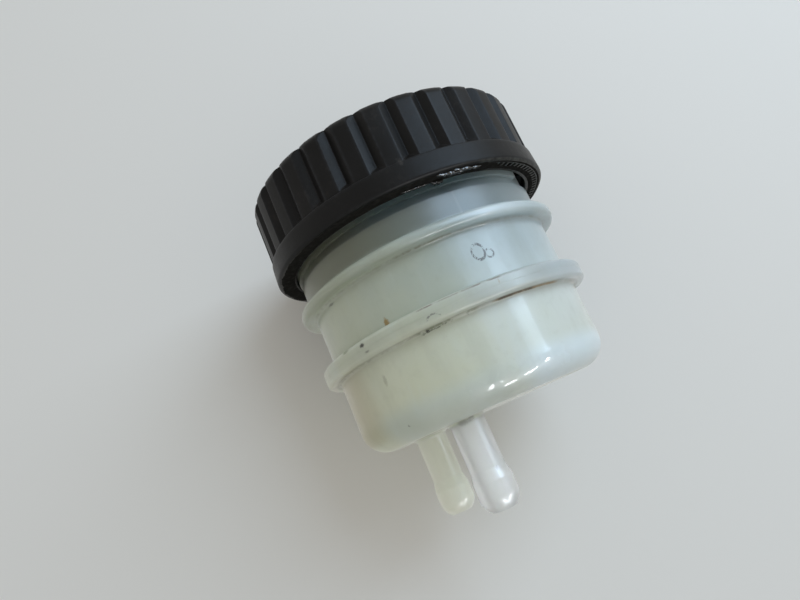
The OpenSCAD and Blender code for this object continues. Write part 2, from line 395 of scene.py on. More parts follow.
@dataclass(frozen=True)
class MilkyPlastic:
    """Translucent moulded plastic, greyed and yellowed by years of brake fluid.

    The first colours are those of the milky plastic and its dirt, but shaded is painted shade for the
    recess under the cap's rim, and the glaze tint is partly painted light on the sides that face the
    window lamps. The last ones, from water on, tint what is seen through the clearer places; of these,
    the neck and recess tints are painted shade of the cap and the neck's light tint is painted light.
    """

    name: str = "milky_plastic"
    cool: Colour = (0.425, 0.505, 0.53)
    pale: Colour = (0.645, 0.705, 0.685)
    warm: Colour = (0.62, 0.65, 0.52)
    misted: Colour = (0.54, 0.62, 0.65)
    # partly painted light: a lighter, bluer tint for the sides facing the window lamps; also pale runs
    glaze_and_window_light: Colour = (0.68, 0.78, 0.83)
    # painted shade: the dark tint of the recess under the cap's rim
    shaded: Colour = (0.21, 0.30, 0.32)
    frosted: Colour = (0.86, 0.88, 0.88)
    greenish: Colour = (0.945, 1.0, 0.82)
    chalk: Colour = (0.97, 1.0, 0.89)
    bright: Colour = (0.85, 0.88, 0.88)
    dirt: Colour = (0.24, 0.24, 0.17)
    soot: Colour = (0.035, 0.033, 0.028)
    rust: Colour = (0.30, 0.17, 0.015)
    moss: Colour = (0.20, 0.23, 0.13)
    brown: Colour = (0.15, 0.10, 0.07)
    algae: Colour = (0.10, 0.125, 0.07)
    tan: Colour = (0.30, 0.28, 0.16)
    water: Colour = (0.985, 0.99, 0.99)
    lime: Colour = (0.975, 0.995, 0.90)
    # painted shade: the next three tints darken what is seen through the neck and its recess
    painted_neck_shade: Colour = (0.52, 0.61, 0.61)
    painted_neck_band_shade: Colour = (0.39, 0.50, 0.54)
    painted_recess_shade: Colour = (0.36, 0.47, 0.49)
    tea: Colour = (0.50, 0.49, 0.38)
    # painted light: lightens what is seen through the neck's +y side
    painted_neck_light: Colour = (0.72, 0.82, 0.84)
    haze: Colour = (0.86, 0.90, 0.89)
    scatter_mm: float = 2.6
    ior: float = 1.49

    def marks(self) -> tuple[Blot, ...]:
        """The single marks, each on the surface that carries it.

        Returns:
            The marks in the order in which they are laid.
        """
        soot, rust, moss, dirt = self.soot, self.rust, self.moss, self.dirt
        return (
            Blot((17.5, -18.4, -4.3), 0.85, rust, 0.8, (1.5, 1.5, 0.75)),
            Blot((21.8, -13.6, -8.9), 0.5, soot, 0.85),
            Blot((15.5, -23.5, -6.2), 0.55, soot, 0.85, (0.8, 1.0, 1.3)),
            Blot((16.0, -23.2, -7.6), 0.6, soot, 0.6, (0.7, 1.0, 1.8)),
            Blot((11.3, -25.5, -5.5), 0.9, moss, 0.7, (0.6, 1.0, 1.9)),
            Blot((8.2, -24.0, 4.5), 0.9, soot, 0.5, (0.6, 1.0, 2.6)),
            Blot((13.8, -21.6, -13.0), 0.9, dirt, 0.4, (1.7, 1.7, 0.7)),
            Blot((28.1, -0.9, -6.2), 0.5, rust, 0.45, (1.0, 2.0, 0.7)),
            Blot((13.9, -20.8, -21.8), 0.4, soot, 0.7),
            Blot((15.0, -9.6, -33.9), 0.38, soot, 0.8),
            Blot((14.6, -11.6, -24.9), 1.1, soot, 0.5, (0.7, 0.7, 1.5)),
            Blot((15.1, -10.4, -24.7), 0.9, soot, 0.5, (1.0, 1.0, 1.4)),
        )

    def plain(self, p: ShellPaint) -> Val:
        """The clouded, yellowed plastic with its runs and specks.

        Args:
            p: the material.

        Returns:
            The colour before the zones are tinted.
        """
        yellowed = p.y.ease(6.0, -24.0) * 0.8 + p.z.ease(6.0, -20.0) * 0.45 + (p.cloud - 0.5) * 0.9
        paler = p.z.ease(2.0, -13.0).upper_of(p.x.ease(4.0, -16.0) * 0.65)
        runs = p.noise(0.22, 3.0, shift=1.7, tall=5.0)
        return p.layers(
            p.mix(paler, self.cool, self.pale),
            (yellowed.ease(0.1, 1.25), self.warm),
            (p.nipples * 0.9, self.frosted),
            (p.left_nipple * 0.97, self.greenish),
            (runs.ease(0.50, 0.72) * 0.10, self.dirt),
            (runs.ease(0.48, 0.30) * 0.14, self.glaze_and_window_light),
            (p.grain.ease(0.50, 0.72) * 0.06, self.dirt),
            (p.fine.ease(0.69, 0.76) * 0.22, self.dirt),
        )

    def zoned(self, p: ShellPaint, colour: Val) -> Val:
        """Tints of the seat, the flanges, the cup, its lower corner and the neck, with painted light on
        the sides that face the window lamps and painted shade in the recess under the cap's rim.

        Args:
            p: the material.
            colour: the plain plastic.

        Returns:
            The tinted colour.
        """
        ledge = p.radius.ease(25.9, 27.2) * p.z.band(5.0, 7.6, 0.5)
        weld_end = p.radius.ease(26.0, 27.2) * p.weld * p.y.ease(5.0, 13.0)
        corner = p.corner * (1.0 - p.nipples)
        return p.layers(
            colour,
            (p.seat * p.y.ease(6.0, -12.0) * 0.22, self.moss),
            # painted light: the upper flange lighter and bluer on its window side
            (ledge * p.y.band(4.0, 7.0, 9.0) * 0.6, self.glaze_and_window_light),
            (ledge * p.y.ease(-10.0, -24.0) * 0.3, self.moss),
            # painted light: the weld flange's +y end lighter and bluer
            (weld_end * 0.5, self.glaze_and_window_light),
            (p.cup * (p.y.ease(-20.0, -25.5) * 0.14 + p.y.ease(2.0, 14.0) * 0.07), self.dirt),
            (p.cup * p.y.ease(-22.5, -25.6) * 0.27, self.rust),
            (corner * p.angle.band(-60.0, -20.0, 18.0) * 0.45, self.misted),
            # painted light: the corner lighter and bluer where it faces the window lamps
            (corner * p.angle.band(6.0, 70.0, 16.0) * 0.85, self.glaze_and_window_light),
            (corner * p.angle.band(-85.0, -55.0, 14.0) * 0.16, self.moss),
            (p.open_neck * p.y.ease(2.0, -18.0) * 0.45, self.moss),
            (p.under_cap * 0.5, self.pale),
            # painted shade: the recess under the cap's rim darkened, less so towards +y
            (p.recess * (0.92 - p.y.ease(-4.0, 14.0) * 0.8), self.shaded),
            (p.tanned * (0.3 + p.recess * 0.4), self.tan),
        )

    def stained(self, p: ShellPaint, colour: Val) -> Val:
        """Dirt in the creases beside the flanges and on the weld: lines that noise breaks up.

        Args:
            p: the material.
            colour: the tinted plastic.

        Returns:
            The stained colour.
        """
        angle, grain = p.angle, p.grain
        sooty = (p.fine * 0.6 + grain).ease(0.45, 0.95)
        edge = (p.z - (WELD_TOP - 0.35) + p.fray * 0.25).band(-0.06, 0.06, 0.12) * p.outer
        stretches = (angle.band(-31.0, -27.0, 1.5) * 0.8 + angle.band(-23.0, -13.0, 3.0) * 0.45
                     + angle.band(-10.0, -2.0, 2.5) * 0.75)
        run = (p.z - (WELD_LOW - 0.4) + p.fray * 1.2).band(-0.05, 0.05, 0.12)
        run = run * angle.band(-33.0, -17.0, 3.0) * p.radius.ease(26.4, 25.9)
        curl_away = ((angle + 27.5) * 0.37).length_with(p.z + 8.0) + p.fray * 0.15
        curl = curl_away.band(0.85, 1.0, 0.12) * p.outer * p.z.ease(-8.0, -7.5) * p.speckle
        return p.layers(
            colour,
            (p.creases * grain.ease(0.35, 0.62) * 0.30, self.dirt),
            (p.under_weld * angle.band(-2.0, 26.0, 5.0) * 0.7, self.rust),
            (p.under_weld * angle.band(-1.5, 12.0, 3.0) * sooty * 0.8, self.soot),
            (p.under_weld * angle.band(-34.0, -14.0, 4.0) * grain.ease(0.40, 0.58) * 0.65, self.moss),
            (edge * grain.ease(0.34, 0.5) * stretches, self.brown),
            (run * grain.ease(0.40, 0.54) * 0.7, self.algae),
            (curl * 0.7, self.soot),
            (p.under_upper * angle.band(-32.0, -12.0, 6.0) * grain.ease(0.40, 0.6) * 0.5, self.dirt),
        )

    def marked(self, p: ShellPaint, colour: Val) -> Val:
        """Single marks: a scuffed ring with an arc beside it, the neck's mould line and the blots.

        Args:
            p: the material.
            colour: the stained plastic.

        Returns:
            The colour with all its marks.
        """
        ring_away = (p.y + 0.55).length_with((p.z - 0.4) * math.sqrt(0.62))
        ring = (ring_away + p.fray * 0.2).band(1.02, 1.30, 0.13)
        arc_away = (p.y - 1.35).length_with(p.z + 0.4)
        arc = (arc_away + p.fray * 0.2).band(0.72, 0.88, 0.14) * p.y.ease(0.5, 1.0)
        scuff = ring.upper_of(arc) * p.x.ease(20.0, 24.0) * p.speckle
        mould_line = p.angle.band(-0.9, -0.2, 0.35) * p.z.band(FLANGE_TOP, RECESS_Z - 0.1, 0.4)
        blots = [(blot.share(p, p.fray), blot.colour) for blot in self.marks()]
        return p.layers(colour, (scuff * 0.88, self.soot), (mould_line * 0.3, self.bright), *blots)

    def milky(self, p: ShellPaint, colour: Val, normal: Val) -> Val:
        """The light-scattering plastic, under a coat of fluid that is smeared and beads on the corner.

        Args:
            p: the material.
            colour: the finished colour.
            normal: the bumped normal.

        Returns:
            The shader.
        """
        smears = p.noise(0.16, 3.0, shift=2.1).ease(0.36, 0.60)
        drops = p.noise(0.5, 1.0, shift=3.3).ease(0.44, 0.49) * p.z.ease(-23.3, -22.5)
        drops = drops * p.angle.band(-26.0, 16.0, 6.0)
        dulled = (1.0 - p.corner) * (1.0 - p.seat * 0.35) * (1.0 - p.neck * 0.85)
        dulled = dulled * (1.0 - p.outer * p.weld * 0.5)
        coat = (0.30 + smears * 0.25) * dulled + p.corner * drops + p.nipples * 0.7
        return p.node("BsdfPrincipled", {"subsurface_method": "RANDOM_WALK"}, {
            "Base Color": colour, "Roughness": 0.33 + p.creases * 0.25, "Normal": normal,
            "IOR": self.ior, "Specular IOR Level": 0.3,
            "Coat Weight": coat, "Coat Roughness": 0.11, "Coat IOR": 1.5,
            "Subsurface Weight": 1.0, "Subsurface Radius": (1.0, 1.05, 1.0),
            "Subsurface Scale": self.scatter_mm * MM,
        })

    def clear(self, p: ShellPaint, normal: Val) -> Val:
        """The clearer plastic, whose tint goes from water white on the nipples to a grey on the neck
        that is painted shade of the cap, darker in the recess and lighter, as painted light, towards +y.

        Args:
            p: the material.
            normal: the bumped normal.

        Returns:
            The shader, with a coat on the nipples' beads.
        """
        tint = p.layers(
            p.mix(p.x.ease(2.0, -2.0), self.water, self.lime),
            # painted shade: the neck seen through greyer and darker, standing in for the cap's shade
            (p.z.ease(6.0, 8.0), self.painted_neck_shade),
            # painted shade: the neck's front band darkened against the window's glow
            (p.neck * p.y.band(-1.0, 6.0, 6.0), self.painted_neck_band_shade),
            # painted shade: the recess darker, less so towards +y
            (p.recess * (1.0 - p.y.ease(-4.0, 14.0) * 0.75), self.painted_recess_shade),
            (p.tanned * 0.8, self.tea),
            # painted light: the neck lighter on its +y side
            (p.neck * p.y.ease(6.0, 12.0) * 0.8, self.painted_neck_light),
            (p.under_cap * 0.85, self.haze),
        )
        return p.node("BsdfPrincipled", {}, {
            "Base Color": tint, "Roughness": 0.30, "Normal": normal, "IOR": self.ior,
            "Specular IOR Level": 0.35, "Transmission Weight": 1.0,
            "Coat Weight": p.z.ease(BEAD_Z + 0.7, BEAD_Z - 1.3),
            "Coat Roughness": 0.09, "Coat IOR": 1.5,
        })

    def clearness(self, p: ShellPaint) -> Val:
        """How much of the clear plastic shows: most on the nipples and the neck, less on the flanges.

        Args:
            p: the material.

        Returns:
            The share of the clear shader.
        """
        neck = p.z.ease(7.0, 8.8) * (0.66 - p.under_cap * 0.30)
        collar = p.recess * (0.12 - p.y.ease(3.0, 13.0) * 0.38)
        upper = p.z.ease(0.0, 5.0)
        weld = (0.22 + p.y.ease(-2.0, 14.0) * 0.22) * (1.0 - upper)
        ledge = (0.12 + p.y.ease(10.0, -14.0) * 0.22) * upper
        flanges = p.radius.ease(26.2, 28.0) * p.z.ease(9.0, 7.5) * (weld + ledge)
        return p.nipples * (0.24 + p.x.ease(-2.0, 2.0) * 0.46) + neck + collar + flanges

    def make(self) -> bpy.types.Material:
        """Builds the material.

        Returns:
            A material that is milky on the cup and the seat and clearer on the neck and the nipples.
        """
        p = ShellPaint(self.name)
        colour = self.stained(p, self.zoned(p, self.plain(p)))
        colour = self.marked(p, colour)
        dents = p.noise(0.4, 1.0, shift=4.1) * p.z.ease(BEAD_Z + 0.2, BEAD_Z - 1.8) * 2.0
        normal = p.bump(p.noise(0.05, 0.0, shift=1.3) + dents, 0.15)
        chalk = p.node("BsdfDiffuse", {}, {"Color": (*self.chalk, 1.0)})
        dense = p.blend(p.left_nipple * 0.6, self.milky(p, colour, normal), chalk)
        return p.finish(p.blend(self.clearness(p), dense, self.clear(p, normal)))


@dataclass(frozen=True)
class BlackPlastic:
    """Moulded black plastic, dulled by handling, dusty, its edges paler from wear and painted highlight.
    """

    black: Colour = (0.0062, 0.0060, 0.0058)
    greyed: Colour = (0.011, 0.0105, 0.0105)
    wear_and_edge_sheen: Colour = (0.026, 0.028, 0.032)
    dust: Colour = (0.030, 0.026, 0.022)
    chip: Colour = (0.042, 0.039, 0.036)
    silt: Colour = (0.055, 0.057, 0.052)
    chip_at: Point = (28.5, -8.3, 19.1)
    gate_r: float = 1.1

    def make(self) -> bpy.types.Material:
        """Builds the material.

        Returns:
            The material of the cap and its thread.
        """
        p = Paint("black_plastic")
        cloud = p.noise(0.12, 4.0)
        grain = p.noise(1.1, 4.0, shift=0.2)
        fine = p.noise(7.0, 2.0, shift=0.6)
        edge = p.node("Attribute", {"attribute_name": "wear"}, output="Fac") * grain.ease(0.1, 0.8)
        chip_x, chip_y, chip_z = self.chip_at
        away = (p.x - chip_x).length_with(p.y - chip_y, (p.z - chip_z) * 0.75)
        chip = (away + (grain - 0.5) * 1.6).ease(0.75, 0.35)
        under = p.z.ease(RIM_Z + 0.45, RIM_Z + 0.15) * p.angle.band(14.0, 120.0, 6.0)
        top = p.z.ease(CAP_TOP - 0.75, CAP_TOP - 0.1)
        scuffs = p.noise(0.35, 5.0, 0.7, shift=0.9).ease(0.46, 0.70) * top
        arcs = (p.radius * 4.0 + cloud * 9.0).math("SINE").ease(0.90, 1.0) * grain.ease(0.48, 0.62) * top
        colour = p.layers(
            self.black,
            (cloud.ease(0.42, 0.75) * 0.6, self.greyed),
            # the wear attribute's edges paler: partly wear, partly painted edge highlight
            (edge * 0.5, self.wear_and_edge_sheen),
            ((cloud * grain).ease(0.30, 0.48) * 0.3, self.dust),
            (chip * 0.7, self.chip),
            (under * grain.ease(0.3, 0.65) * 0.85, self.silt),
            (scuffs * 0.35, self.dust),
            (arcs * 0.35, self.wear_and_edge_sheen),
        )
        rough = 0.40 + (cloud - 0.5) * 0.2 + (grain - 0.5) * 0.14 - edge * 0.06 + scuffs * 0.12
        gate = p.radius.band(0.0, self.gate_r, 0.25) * top
        normal = p.bump(fine * 0.5 + grain - gate * 6.0, 0.02)
        return p.finish(p.node("BsdfPrincipled", {}, {
            "Base Color": colour, "Roughness": rough, "Normal": normal, "Specular IOR Level": 0.12,
        }))


@dataclass(frozen=True)
class Grime:
    """Old brake fluid gone black: dry and dull, or still wet."""

    name: str
    black: Colour = (0.019, 0.0185, 0.0175)
    greasy: Colour = (0.034, 0.033, 0.031)
    rough: float = 0.75
    gloss: float = 0.0

    def make(self) -> bpy.types.Material:
        """Builds the material.

        Returns:
            The grime's material.
        """
        p = Paint(self.name)
        ripple = p.noise(0.9, 2.0)
        return p.finish(p.node("BsdfPrincipled", {}, {
            "Base Color": p.mix(ripple.ease(0.4, 0.8), self.black, self.greasy),
            "Roughness": self.rough + (ripple - 0.5) * 0.06,
            "Normal": p.bump(ripple, 0.06), "Specular IOR Level": self.gloss,
        }))


@dataclass(frozen=True)
class MouldedRubber:
    """Dark seal rubber with a dry bloom."""

    black: Colour = (0.022, 0.022, 0.022)
    bloom: Colour = (0.075, 0.075, 0.07)

    def make(self) -> bpy.types.Material:
        """Builds the material.

        Returns:
            The diaphragm's material.
        """
        p = Paint("seal_rubber")
        cloud, fine = p.noise(0.14, 4.0), p.noise(4.0, 3.0, shift=0.4)
        return p.finish(p.node("BsdfPrincipled", {}, {
            "Base Color": p.mix(cloud.ease(0.42, 0.72) * 0.7, self.black, self.bloom),
            "Roughness": 0.62 + (cloud - 0.5) * 0.3,
            "Normal": p.bump(fine, 0.03), "Specular IOR Level": 0.35,
        }))


@dataclass(frozen=True)
class SlipPlastic:
    """Pale slippery plastic of the ring, with faint round rub marks."""

    pale: Colour = (0.55, 0.54, 0.49)
    rubbed: Colour = (0.36, 0.35, 0.31)

    def make(self) -> bpy.types.Material:
        """Builds the material.

        Returns:
            The slip ring's material.
        """
        p = Paint("slip_plastic")
        cloud = p.noise(0.2, 3.0)
        circles = (p.radius * 5.0 + cloud * 4.0).math("SINE") * 0.5 + 0.5
        rubbed = (circles * 0.5 + cloud * 0.8).ease(0.4, 1.0) * 0.6
        return p.finish(p.node("BsdfPrincipled", {}, {
            "Base Color": p.mix(rubbed, self.pale, self.rubbed),
            "Roughness": 0.36 + (cloud - 0.5) * 0.2, "Normal": p.bump(circles, 0.01),
            "Subsurface Weight": 0.3, "Subsurface Scale": MM,
        }))


class Surface:
    """A closed mesh gathered from grids and fans of points in millimetres."""

    def __init__(self, name: str) -> None:
        """Starts an empty surface.

        Args:
            name: the name of its mesh and its object.
        """
        self.name = name
        self.points: list[np.ndarray] = []
        self.faces: list[list[int]] = []
        self.total = 0

    def add_points(self, points: np.ndarray) -> int:
        """Adds points.

        Args:
            points: any array whose last axis is x, y and z.

        Returns:
            The index of the first.
        """
        first = self.total
        self.points.append(points.reshape(-1, 3))
        self.total += self.points[-1].shape[0]
        return first

    def add_grid(self, points: np.ndarray, wrap_rows: bool, wrap_cols: bool) -> np.ndarray:
        """Adds a grid of quads that joins each point with its neighbours in both directions.

        Args:
            points: rows x columns x 3.
            wrap_rows: whether the last row joins the first.
            wrap_cols: whether the last column joins the first.

        Returns:
            The index of every point, rows x columns.
        """
        rows, cols = points.shape[:2]
        index = self.add_points(points) + np.arange(rows * cols).reshape(rows, cols)
        down = np.roll(index, -1, 0)
        right = np.roll(index, -1, 1)
        both = np.roll(down, -1, 1)
        quads = np.stack([index, right, both, down], -1)
        quads = quads[: rows if wrap_rows else rows - 1, : cols if wrap_cols else cols - 1]
        self.faces += quads.reshape(-1, 4).tolist()
        return index

    def add_fan(self, ring: np.ndarray, tip: Point, flip: bool) -> None:
        """Closes a ring of points with triangles that meet at a tip.

        Args:
            ring: indices in order.
            tip: the point where they meet.
            flip: whether the triangles turn the other way.
        """
        top = self.add_points(np.array([tip]))
        after = np.roll(ring, -1)
        pair = (after, ring) if flip else (ring, after)
        self.faces += np.stack([*pair, np.full(len(ring), top)], -1).tolist()

    def add_bar(self, grid: np.ndarray) -> None:
        """Adds a bar: closed sections in a row, with a fan over each end.

        Args:
            grid: sections x points of a section x 3.
        """
        index = self.add_grid(grid, wrap_rows=False, wrap_cols=True)
        self.add_fan(index[0], tuple(grid[0].mean(0)), flip=False)
        self.add_fan(index[-1], tuple(grid[-1].mean(0)), flip=True)

    def build(self, sharp_deg: float, marks: dict[str, np.ndarray] | None = None) -> bpy.types.Object:
        """Makes the mesh object, its faces turned outwards and shaded smooth up to an angle.

        Args:
            sharp_deg: edges that turn more than this stay sharp.
            marks: point attributes by name.

        Returns:
            The object, at the origin.
        """
        points = np.concatenate(self.points)
        corner = np.array([f[:3] for f in self.faces])
        fourth = np.array([[f[0], f[2], f[3]] for f in self.faces if len(f) == 4])
        tris = points[np.concatenate([corner, fourth])]
        volume = np.einsum("ij,ij->i", tris[:, 0], np.cross(tris[:, 1], tris[:, 2])).sum()
        faces = self.faces if volume > 0 else [f[::-1] for f in self.faces]
        mesh = bpy.data.meshes.new(self.name)
        mesh.from_pydata((points * MM).tolist(), [], faces)
        mesh.polygons.foreach_set("use_smooth", np.ones(len(mesh.polygons), bool))
        mesh.set_sharp_from_angle(angle=math.radians(sharp_deg))
        for name, values in (marks or {}).items():
            layer = mesh.attributes.new(name, "FLOAT", "POINT")
            full = np.zeros(len(points), np.float32)
            full[: values.size] = values.ravel()
            layer.data.foreach_set("value", full)
        mesh.update()
        made = bpy.data.objects.new(self.name, mesh)
        bpy.context.scene.collection.objects.link(made)
        return made


def rounded(corners: list[tuple[float, float, float]], steps: int = 5) -> np.ndarray:
    """A closed profile whose corners are turned into arcs.

    Each arc leaves its two edges at the tangent length radius / tan(half the corner's angle), kept
    under half of either edge.

    Args:
        corners: radius, height and fillet of every corner, in order.
        steps: points to the arc.

    Returns:
        Points of the profile, n x 2.
    """
    spots = np.array([c[:2] for c in corners])
    pieces = []
    for i, (_, _, fillet) in enumerate(corners):
        here = spots[i]
        back, ahead = spots[i - 1] - here, spots[(i + 1) % len(spots)] - here
        len_back, len_ahead = np.linalg.norm(back), np.linalg.norm(ahead)
        back, ahead = back / len_back, ahead / len_ahead
        half = math.acos(float(np.clip(back @ ahead, -1, 1))) / 2
        reach = min(fillet / max(math.tan(half), 1e-6), 0.48 * len_back, 0.48 * len_ahead)
        if fillet <= 0 or reach < 1e-4:
            pieces.append(here[None])
            continue
        t = np.linspace(0, 1, steps)[:, None]
        start, stop = here + back * reach, here + ahead * reach
        weight = math.sin(half)
        curve = (1 - t) ** 2 * start + 2 * t * (1 - t) * weight * here + t ** 2 * stop
        pieces.append(curve / ((1 - t) ** 2 + 2 * t * (1 - t) * weight + t ** 2))
    return np.concatenate(pieces)


def turned(r: np.ndarray, z: np.ndarray, angles: np.ndarray) -> np.ndarray:
    """Points carried round the axis: x = r cos a, y = r sin a.

    Args:
        r: n radii, or m x n with a row to every angle.
        z: n heights, or m x n.
        angles: m angles in radians.

    Returns:
        Points, m x n x 3.
    """
    a = angles.reshape(-1, 1)
    return np.stack(np.broadcast_arrays(r * np.cos(a), r * np.sin(a), z), -1)


def full_turn(count: int) -> np.ndarray:
    """Evenly spaced angles over one turn, in radians."""
    return np.linspace(0, 2 * math.pi, count, endpoint=False)


def soft_floor(values: np.ndarray, blend: float) -> np.ndarray:
    """Values kept above 0, with the kink rounded over about the blend width."""
    return (values + np.sqrt(values ** 2 + blend ** 2)) / 2


def hill(values: np.ndarray, width: float) -> np.ndarray:
    """A bell that is 1 at 0 and falls off over the width: exp(-(value / width) squared)."""
    return np.exp(-(values / width) ** 2)


def squared(wave: np.ndarray) -> np.ndarray:
    """A sine or cosine with its sign kept and its size raised to 0.6, which squares an ellipse."""
    return np.sign(wave) * np.abs(wave) ** 0.6


def dress(piece: bpy.types.Object, finish: bpy.types.Material, body: Body,
          node: str | None = None) -> None:
    """Gives a piece its finish and its place in the frame.

    Args:
        piece: the new object.
        finish: its material.
        body: the body that it rides on.
        node: the CAD node that it stands for.
    """
    piece.data.materials.append(finish)
    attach(piece, body.value)
    if node is not None:
        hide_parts(node)
    LOG.info("%s: %d points on %s", piece.name, len(piece.data.vertices), body.value)


@dataclass
class ScrewCap:
    """The ribbed cap: one surface from the ceiling, down the sleeve, round the rim and over the grip.

    The three wear widths are those on the ribs, the band's edge and the brim, where the paler
    colour is partly wear and partly painted edge highlight. A strip of grime has its two end angles,
    its middle radius and its half width. A wet bead has its two end angles, its two end radii, its half
    width and its depth.
    """

    rim_z: float = RIM_Z
    band_z: float = 19.05
    top_z: float = CAP_TOP
    ceiling_z: float = 30.05
    sleeve_r: float = 26.2
    grip_r: float = 29.6
    band_r: float = 29.9
    rim_r: float = 30.1
    edge_r: float = 2.2
    flat_r: float = 25.5
    grooves: int = 30
    groove_half_w: float = 1.55
    groove_t: float = 1.15
    valley_soft: float = 0.004
    valley_lift: float = 0.02
    notch_t: float = 0.32
    notch_from: float = 0.55
    notch_over: float = 0.35
    pockets: int = 120
    pocket_r: tuple[float, float] = (27.4, 28.8)
    pocket_w: float = 0.835
    pocket_h: float = 3.0
    wall_step: float = 0.03
    rib_soft: float = 0.035
    ramp_soft: float = 0.06
    cut_soft: float = 0.05
    nick_deg: float = -16.1
    nick_w: float = 0.7
    nick_h: float = 0.9
    nick_t: float = 0.3
    wear_w: tuple[float, float, float] = (0.24, 0.16, 0.2)
    thread_pieces: int = 5
    thread_z: float = 16.8
    thread_lead: float = 5.0
    thread_arc: float = 62.0
    thread_sink: float = 0.4
    thread_foot: float = 1.25
    thread_tip: float = 0.55
    thread_edge: float = 0.18
    minor_r: float = 24.9
    grime_t: float = 0.07
    grime_step_deg: float = 0.25
    bead_gap: float = 0.03
    section_points: int = 20
    strips: tuple[tuple[float, float, float, float], ...] = (
        (-135.0, 22.0, 28.0, 1.46), (16.0, 118.0, 27.4, 0.50), (16.0, 118.0, 29.2, 0.22),
    )
    beads: tuple[tuple[float, float, float, float, float, float], ...] = (
        (-8.4, -2.8, 27.20, 26.75, 0.40, 0.54),
        (-6.8, 5.6, 29.15, 28.45, 0.36, 0.46),
        (-0.5, 12.4, 29.25, 28.70, 0.28, 0.36),
        (-20.0, -8.5, 27.5, 27.0, 0.28, 0.24),
    )

    def columns(self) -> np.ndarray:
        """Angles of the columns, closer together at the rib edges and the pocket walls.

        Returns:
            Angles in radians over one turn.
        """
        pitch, small, step = 360.0 / self.grooves, 360.0 / self.pockets, self.wall_step
        web = (small - math.degrees(self.pocket_w / self.pocket_r[0])) / 2
        cell = np.array([0.0, web - step, web + step, small / 2, small - web - step, small - web + step])
        walls = (np.arange(-pitch / 2, pitch / 2, small)[:, None] + cell).ravel()
        rib = np.array([0.06, 0.16, 0.4, 1.05, 2.0, 2.7, 2.88, 2.96, 3.03, 3.1, 3.25, 4.0, 5.2])
        sector = np.unique(np.round(np.concatenate([walls, rib, -rib]), 3))
        turn = (np.arange(self.grooves)[:, None] * pitch + sector).ravel()
        return np.radians(turn)

    def rows(self) -> np.ndarray:
        """The plain profile without grooves and pockets.

        Returns:
            Radius and height of every row from the ceiling to the top, n x 2.
        """
        (r_in, r_out), s, rim, high = self.pocket_r, self.sleeve_r, self.rim_z, self.ceiling_z
        inside = [(6, high), (16, high), (23, high), (s - 0.6, high), (s - 0.2, high - 0.14),
                  (s, high - 0.5), (s, 25), (s, 20), (s, rim + 0.6)]
        lip = [(s + out, rim + up) for out, up in
               ((0, 0.32), (0.05, 0.14), (0.16, 0.03), (0.34, 0))]
        face = [(r + side, rim) for r in (r_in, r_out) for side in (-0.02, 0.02)]
        brim = [(self.rim_r - back, rim + up) for back, up in
                ((0.8, 0), (0.54, 0), (0.36, 0.05), (0.12, 0.28), (0.02, 0.44), (0, 0.7),
                 (0.05, 1.6), (0.11, 2.7), (0.17, 3.7))]
        band = [(self.band_r - back, self.band_z - down) for back, down in
                ((0, 0.22), (0.03, 0.09), (0.11, 0.02), (0.22, 0))]
        grip = [(self.grip_r, self.band_z + up) for up in
                (0.03, 0.15, 0.3, 0.5, 0.7, 0.9, 1.05, 1.2, 1.35, 1.6, 2.5, 4.5, 6.5, 8.5, 9.8)]
        arc = np.radians(np.linspace(0, 90, 12))
        edge = np.stack([self.grip_r - self.edge_r + self.edge_r * np.cos(arc),
                         self.top_z - self.edge_r + self.edge_r * np.sin(arc)], -1)
        top = [(r, self.top_z) for r in (self.flat_r, 20.0, 12.0, 4.0)]
        return np.concatenate([np.array(inside + lip + face + brim + band + grip), edge, np.array(top)])

    def hollow(self, angles: np.ndarray) -> np.ndarray:
        """Which columns lie in a pocket.

        Args:
            angles: the columns' angles.

        Returns:
            True for a column between two webs.
        """
        small = 2 * math.pi / self.pockets
        half_web = (small - self.pocket_w / self.pocket_r[0]) / 2
        u = angles % small
        return (u > half_web) & (u < small - half_web)

    def form(self) -> tuple[np.ndarray, np.ndarray]:
        """The whole grid and its wear.

        A groove is a V of depth t (1 - |s| / half width) in the arc length s from its middle, with
        its edges and its bottom rounded. At its foot a ramp of 45 degrees takes it out to the band,
        and at its head it notches the rounded shoulder. A pocket lifts the rim's rows between its
        two radii. The nick is a bell on the band's upper edge, and wear is a sum of bells on the
        ribs, the band's edge and the brim, which the material paints paler as wear and as painted
        edge highlight.

        Returns:
            Points, columns x rows x 3, and the wear attribute, columns x rows.
        """
        angles, rows = self.columns(), self.rows()
        row_r, row_z = rows[:, 0], rows[:, 1]
        pitch = 2 * math.pi / self.grooves
        s = ((angles + pitch / 2) % pitch - pitch / 2) * self.grip_r
        side = np.sqrt(s ** 2 + self.valley_soft) - self.valley_lift
        depth = soft_floor(self.groove_t * (1 - side / self.groove_half_w), self.rib_soft)
        grip = (row_z > self.band_z) & (row_r > self.sleeve_r - 0.2)
        ramp = soft_floor(row_z - self.band_z - 0.03, self.ramp_soft)
        cut = np.minimum(depth[:, None], ramp) * grip
        r = np.where(grip, row_r - soft_floor(row_r - self.grip_r + cut, self.cut_soft), row_r)
        high = (row_z - self.top_z + self.edge_r) / self.edge_r
        shoulder = np.clip((high - self.notch_from) / self.notch_over, 0, 1)
        shoulder = shoulder * np.clip((row_r - self.flat_r) / self.edge_r, 0, 1)
        z = row_z - self.notch_t * depth[:, None] / self.groove_t * shoulder
        lift = (row_r > self.pocket_r[0]) & (row_r < self.pocket_r[1]) & (row_z == self.rim_z)
        z = z + self.pocket_h * self.hollow(angles)[:, None] * lift
        away = (angles[:, None] - math.radians(self.nick_deg)) * self.grip_r
        nick = hill(away, self.nick_w) * hill(z - self.band_z, self.nick_h) * (r > self.pocket_r[0])
        r = r - self.nick_t * nick
        rib_w, lip_w, brim_w = self.wear_w
        outside = r > self.grip_r - 0.2
